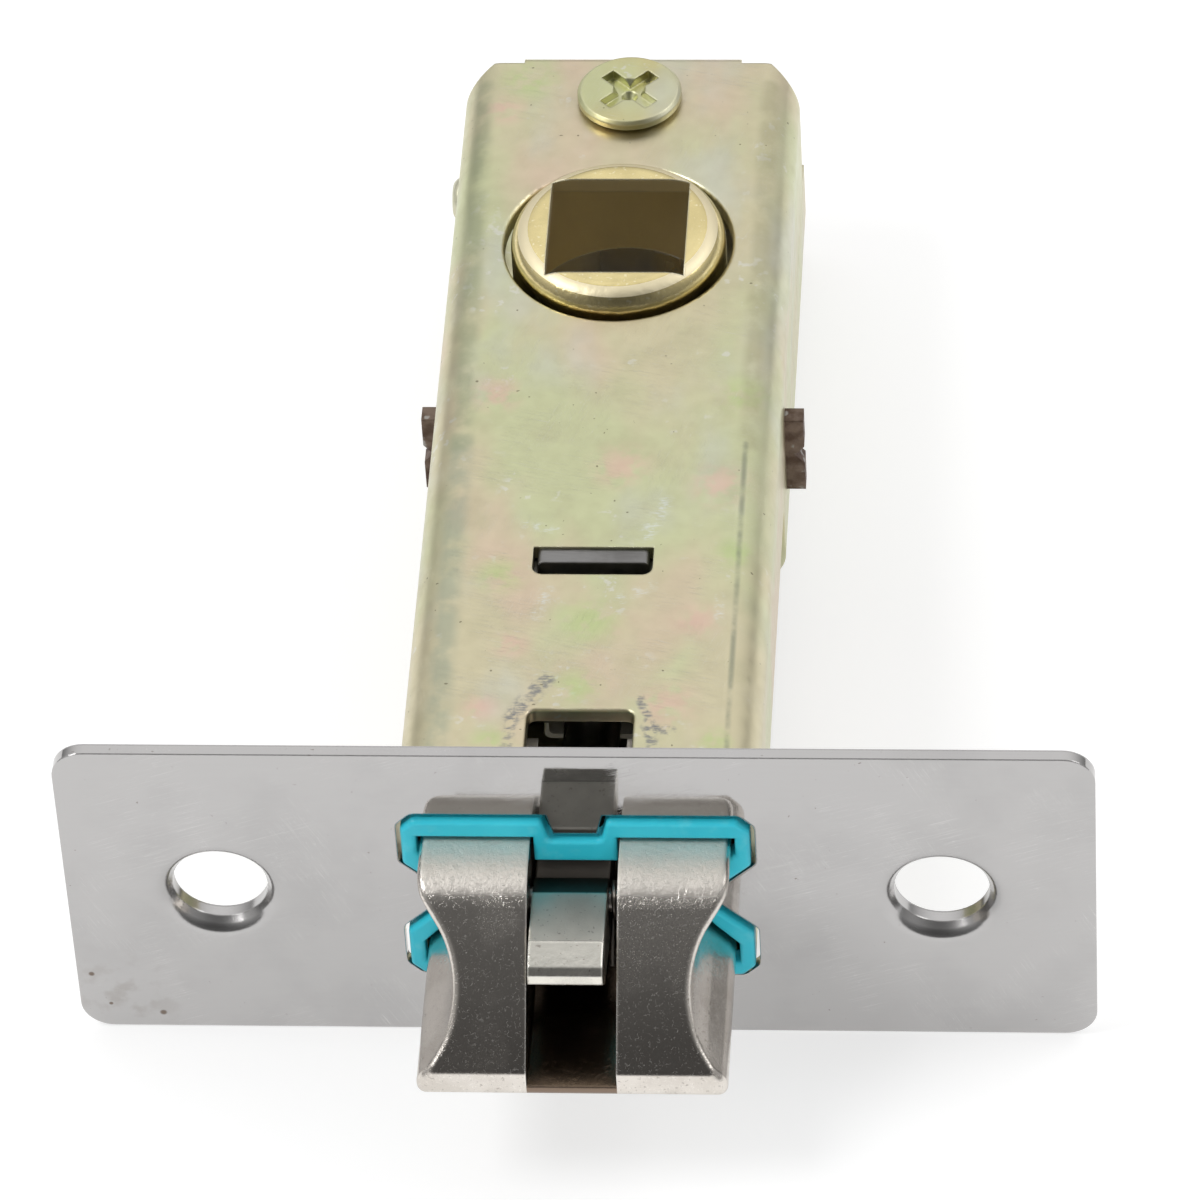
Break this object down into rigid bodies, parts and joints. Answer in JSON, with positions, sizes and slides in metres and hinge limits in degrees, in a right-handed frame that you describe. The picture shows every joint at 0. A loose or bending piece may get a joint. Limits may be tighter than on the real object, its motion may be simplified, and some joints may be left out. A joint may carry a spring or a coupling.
{
  "type": "tubular door latch",
  "caption": "Tubular mortice latch: stainless faceplate, teal bolt guide, fluted bevelled bolt with an anti-friction lever, yellow zinc steel case with a square spindle hub.",
  "frame": {"origin": "middle of the faceplate's front face, midway between its two screw holes", "axes": "+X along the faceplate's long side, +Y into the door (the bolt stands out towards -Y), +Z along the spindle's axis, towards the face of the case with the rear screw"},
  "size_m": [0.057, 0.0735, 0.0218],
  "materials": {
    "plate_steel": "satin",
    "guide_nylon": "satin",
    "bolt_nickel": "satin",
    "lever_steel": "satin",
    "inner_steel": "satin",
    "spring_steel": "satin",
    "ear_steel": "matte",
    "hub_steel": "satin",
    "case_zinc": "satin"
  },
  "bodies": {
    "case": {"faceplate": "plate_steel", "bolt_guide": "guide_nylon", "front_cross_plate": "inner_steel", "rear_cross_plate": "ear_steel", "top_shell": "case_zinc", "bottom_shell": "case_zinc", "case_screw": "case_zinc", "screw_post": "case_zinc", "latch_spring": "spring_steel"},
    "bolt": {"latch_bolt": "bolt_nickel", "lever_pin": "inner_steel", "lever_spring": "spring_steel", "bolt_stem": "inner_steel", "spring_washer": "inner_steel", "stem_clip": "inner_steel"},
    "lever": {"anti_friction_lever": "lever_steel"},
    "fork": {"retractor_fork": "case_zinc"},
    "hub": {"hub_upper_cup": "hub_steel", "hub_lower_cup": "hub_steel", "hub_cam": "inner_steel"}
  },
  "joints": [
    {"name": "hub_turn", "type": "hinge", "parent": "case", "child": "hub", "pos_m": [0, 0.0461, 0], "axis": [0, 0, 1], "range_deg": [0, 72]},
    {"name": "fork_slide", "type": "slide", "parent": "case", "child": "fork", "axis": [0, 1, 0], "range_m": [0, 0.0104]},
    {"name": "bolt_slide", "type": "slide", "parent": "case", "child": "bolt", "axis": [0, 1, 0], "range_m": [0, 0.0104], "stiffness_N_per_m": 400, "springref_m": -0.01, "deforming": ["latch_spring"]},
    {"name": "lever_hinge", "type": "hinge", "parent": "bolt", "child": "lever", "pos_m": [0, -0.0012, 0.0009], "axis": [1, 0, 0], "range_deg": [0, 18], "stiffness_Nm_per_rad": 0.02, "springref_deg": -20.05}
  ],
  "couplings": [
    {"joint": "hub_turn", "follows": "bolt_slide", "rad_per_m": 120.83},
    {"joint": "fork_slide", "follows": "bolt_slide", "ratio": 1}
  ]
}
